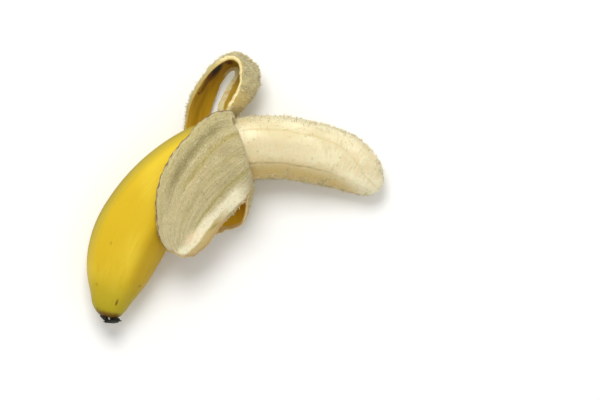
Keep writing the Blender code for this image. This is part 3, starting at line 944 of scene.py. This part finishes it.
# %% The pith's stains, margins and loop
stained = look.place.spot((-2.0, 16.0, 40.0), (8.5, 9.5, 30.0), 25.0) * patches.fade(0.3, 0.6)
look.paint(stained * 0.55, LOOP_BROWN)
pink = look.place.spot((-21.4, -25.0, 30.0), (4.2, 7.0, 20.0), -38.0) * 0.6
look.paint(pink * grain.fade(0.4, 0.6, 0.5, 1.0), PINK_CREAM)
from_right = look.read("from_first") + patches * 2.0
look.paint(from_right.fade(8.0, 6.2) * in_wide * to_end.fade(36.0, 20.0, 0.0, 0.85), DRY_TAN)
look.paint((from_right + bands * 1.6).fade(4.2, 3.6) * in_wide * 0.6, MARGIN_TAN)
look.paint(look.place.spot((-10.6, -19.2, 30.0), (0.8, 4.2, 25.0), -50.0) * 0.8, VEIN_GREEN)
run_so_far = look.read("run")
in_loop = look.read("on_loop") * run_so_far.fade(1.0, 9.0)
mottle = look.place.noise(0.3, 4.0, 0.6).fade(0.42, 0.68)
look.paint(in_loop * 0.75, look.mix(mottle, LOOP_GREY, LOOP_BROWN))
look.paint(in_loop * run_so_far.fade(26.0, 13.0, 0.0, 0.85), TAN)
look.paint((to_end + grain * 3.0).fade(4.6, 2.6) * in_wide * 0.6, STAIN_BROWN)
look.paint(look.read("near_edge").fade(1.0, 0.2), TAN)
uneven_left = look.read("from_last") + look.place.noise(0.3, 4.0) * -3.0
look.paint(uneven_left.fade(-0.6, -1.2) * in_wide, SKIN_BROWN)
look.bump(look.place.noise(1.4, 5.0, 0.65) + grain + bands * 0.3, 0.3)
look.set("Sheen Weight", 0.15)
look.scatter(0.12, 1.5)
look.dress(peel)

# %% [markdown]
# ## Torn rim
#
# The rim shows the peel in section: gold skin, then a moist cream body, with browned spots where the tear
# has dried. The attributes tell the strips apart, because the wide one has browned along its left edge, the
# loop's left limb is olive, and the strip underneath has dried pale.

# %% The rim's recipe
RIM_CREAM, RIM_YELLOW, RIM_GOLD = (0.80, 0.66, 0.28), (0.70, 0.54, 0.16), (0.50, 0.34, 0.06)
RIM_BROWN, RIM_OLIVE = (0.22, 0.12, 0.03), (0.42, 0.35, 0.16)

look = Recipe("torn_rim", 0.6)
drying, grains = look.place.noise(0.35, 4.0), look.place.noise(1.4, 4.0)
to_pith, in_left_limb = map(look.read, ("depth_share", "left_limb"))
look.colour = look.mix(grains.fade(0.35, 0.65), RIM_CREAM, RIM_YELLOW)
look.paint(drying.fade(0.55, 0.75, 0.0, 0.5), RIM_BROWN)
left_edge = look.read("share").fade(0.6, 0.9) * look.read("on_wide")
look.paint(left_edge * drying.fade(0.36, 0.56, 0.35, 0.9), RIM_BROWN)
skin_side = to_pith.fade(0.45, 0.15)
look.paint(in_left_limb * 0.9, look.mix(skin_side, RIM_OLIVE, MARGIN_GOLD))
look.paint(skin_side * 0.6, RIM_GOLD)
look.paint(look.read("on_under") * 0.8, DRIED_EDGE)
# painted light: the rim of the loop's right limb turns bright cream towards the pith
in_right_limb = look.read("on_loop") * in_left_limb.fade(0.8, 0.2)
look.paint(in_right_limb * to_pith.fade(0.2, 0.4, 0.0, 0.3), BRIGHT_CREAM)
look.bump(grains, 0.3)
look.dress(peel)

# %% [markdown]
# ## Flesh
#
# Ripe flesh is cream and slightly see-through, so light spreads inside it; subsurface scattering does that.
# Its seams are a little darker and yellower, short fibres cross it, and its underside and outer edge are
# specked. Painted shade dulls its middle and underside, and the underside is warmed tan as if by light
# bounced up onto it.

# %% The flesh's recipe
FLESH_CREAM, FLESH_PALE, FLESH_WHITE = (0.72, 0.62, 0.36), (0.84, 0.76, 0.50), (0.90, 0.84, 0.62)
FLESH_DULL, FLESH_SHADE, FLESH_GREY = (0.58, 0.48, 0.26), (0.48, 0.39, 0.20), (0.34, 0.33, 0.22)
FLESH_YELLOW, FLESH_TAN, UNDERSIDE_SHADE_TAN = (0.55, 0.40, 0.12), (0.34, 0.26, 0.13), (0.60, 0.43, 0.13)

look = Recipe("banana_flesh", 0.55)
before_peeling = look.read("unpeeled", "Vector")
distance_along, sideways, _ = before_peeling.parts()
cloudy = before_peeling.noise(0.09, 3.0, along=0.5)
ticks = before_peeling.noise(0.9, 4.0, 0.6, across=0.18)
pale_ticks = before_peeling.noise(1.1, 3.0, 0.6, across=0.2)
specks = before_peeling.noise(2.2, 2.0)
look.colour = look.mix(cloudy.fade(0.35, 0.65), FLESH_CREAM, FLESH_PALE)
look.paint(ticks.fade(0.52, 0.74, 0.0, 0.42), FLESH_SHADE)
look.paint(pale_ticks.fade(0.6, 0.8, 0.0, 0.6), FLESH_PALE)
# painted shade: the flesh is duller along its middle and lower side, short of the tip
look.paint(sideways.fade(7.0, 1.0) * distance_along.fade(160.0, 142.0, 0.0, 0.5), FLESH_DULL)
look.paint(distance_along.fade(146.0, 164.0) * pale_ticks.fade(0.45, 0.65, 0.0, 0.36), FLESH_WHITE)
# painted shade with warm bounced light: the flesh's underside is darker and tan
look.paint(sideways.fade(-4.5, -13.0) * 0.95, UNDERSIDE_SHADE_TAN)
broken = before_peeling.noise(0.25, 3.0).fade(0.3, 0.6, 0.35, 1.0)
seam_colour = look.mix(sideways.fade(-3.0, -8.0), FLESH_YELLOW, FLESH_TAN)
look.paint(look.read("seam") * broken * 0.9, seam_colour)
look.paint(specks.fade(0.60, 0.70) * sideways.fade(4.0, -6.0, 0.1, 0.5), FLESH_TAN)
outer_edge = sideways.fade(12.0, 15.0) * distance_along.fade(118.0, 140.0)
look.paint(outer_edge * specks.fade(0.48, 0.60, 0.0, 0.6), FLESH_GREY)
look.bump(ticks + look.place.noise(1.2, 4.0), 0.22)
look.scatter(0.25, 2.0)
look.dress(flesh)

# %% [markdown]
# ## Dried flower
#
# Nearly black, dry and rough, with brown on the crumbs that stand out, a green tinge at its foot and
# ash-grey dust where the lump meets the disc.

# %% The dried flower's recipe
FLOWER_BLACK, FLOWER_BROWN = (0.010, 0.006, 0.005), (0.035, 0.026, 0.022)
FLOWER_GREEN, ASH = (0.018, 0.026, 0.012), (0.42, 0.35, 0.30)

look = Recipe("dried_flower", 0.9)
crumbs = look.place.noise(1.1, 5.0, 0.7)
_, flower_y, _ = look.place.parts()
look.colour = look.mix(crumbs.fade(0.5, 0.75), FLOWER_BLACK, FLOWER_BROWN)
look.paint(flower_y.fade(-65.6, -66.2, 0.0, 0.7), FLOWER_GREEN)
look.paint(look.place.spot((-63.0, -65.3, 22.0), (1.3, 0.6, 12.0), -12.0) * 0.85, ASH)
look.bump(crumbs, 0.6)
look.dress(blossom)

# %% [markdown]
# ## Loose fibres
#
# The fibres are the stuff they stand on, only drier: pale cream, with some that have turned tan. Two
# recipes differ in their colours alone, so one function makes both.

# %% The fibres' recipes
FIBRE_CREAM, FIBRE_TAN, FIBRE_GREY = (0.74, 0.68, 0.43), (0.50, 0.43, 0.22), (0.46, 0.42, 0.26)


def dress_fibres(piece, name, pale, dry):
    """Pale fibres, mixed by noise with drier ones, rough and a little see-through."""
    look = Recipe(name, 0.8)
    look.colour = look.mix(look.place.noise(0.7, 2.0).fade(0.42, 0.66), pale, dry)
    look.bump(look.place.noise(4.0, 2.0), 0.05)
    look.scatter(0.2, 0.5)
    look.dress(piece)


dress_fibres(pith_fuzz, "pith_fibres", FIBRE_CREAM, FIBRE_TAN)
dress_fibres(flesh_fuzz, "flesh_fibres", FLESH_PALE, FIBRE_GREY)

# %% [markdown]
# ## Table, light and camera
#
# The photograph looks straight down on white, and its shadows fall to the lower right. A large pale table,
# one big soft light from the upper left and a dim sky all round give the same look. The camera hangs above
# the middle of the picture with a long lens, so that the far and near parts keep their sizes.

# %% The table
TABLE_HALF = 1.5
TABLE_CORNERS = np.array([(-1, -1, 0), (1, -1, 0), (1, 1, 0), (-1, 1, 0)])
table = make_mesh(
    "table", TABLE_CORNERS * (TABLE_HALF / MM) + (0.0, 0.0, -0.02), [np.array([[0, 1, 2, 3]])],
)
look = Recipe("pale_table", 0.8)
look.colour = (0.93, 0.93, 0.92, 1.0)
look.dress(table)

# %% Light and camera
scene = bpy.context.scene
scene.view_settings.view_transform = "Standard"
world = bpy.data.worlds.new("soft_room")
scene.world = world
world.use_nodes = True
sky = world.node_tree.nodes["Background"].inputs
sky["Color"].default_value = (1.0, 0.99, 0.97, 1.0)
sky["Strength"].default_value = 0.68

LEVEL = 0.020
LAMP_PLACE = np.array((-0.10, 0.46, 0.95))
lamp_data = bpy.data.lights.new("key", "AREA")
lamp_data.energy, lamp_data.size = 7.0, 0.45
lamp = bpy.data.objects.new("key", lamp_data)
lamp.location = LAMP_PLACE
x, y, z = unit(LAMP_PLACE - (0.0, 0.0, LEVEL))
lamp.rotation_euler = (math.acos(z), 0.0, math.atan2(x, -y))
scene.collection.objects.link(lamp)

LENS = 400.0
FRAME_WIDTH = 0.300
FRAME_MIDDLE = (np.array((32.25, -6.0)) - CENTRE[:2]) * MM
camera_data = bpy.data.cameras.new("camera")
camera_data.lens = LENS
camera_data.clip_end = 10.0
camera = bpy.data.objects.new("camera", camera_data)
camera.location = (*FRAME_MIDDLE, LEVEL + FRAME_WIDTH * LENS / camera_data.sensor_width)
scene.collection.objects.link(camera)
scene.camera = camera
print("camera height:", round(camera.location.z, 3), "m")
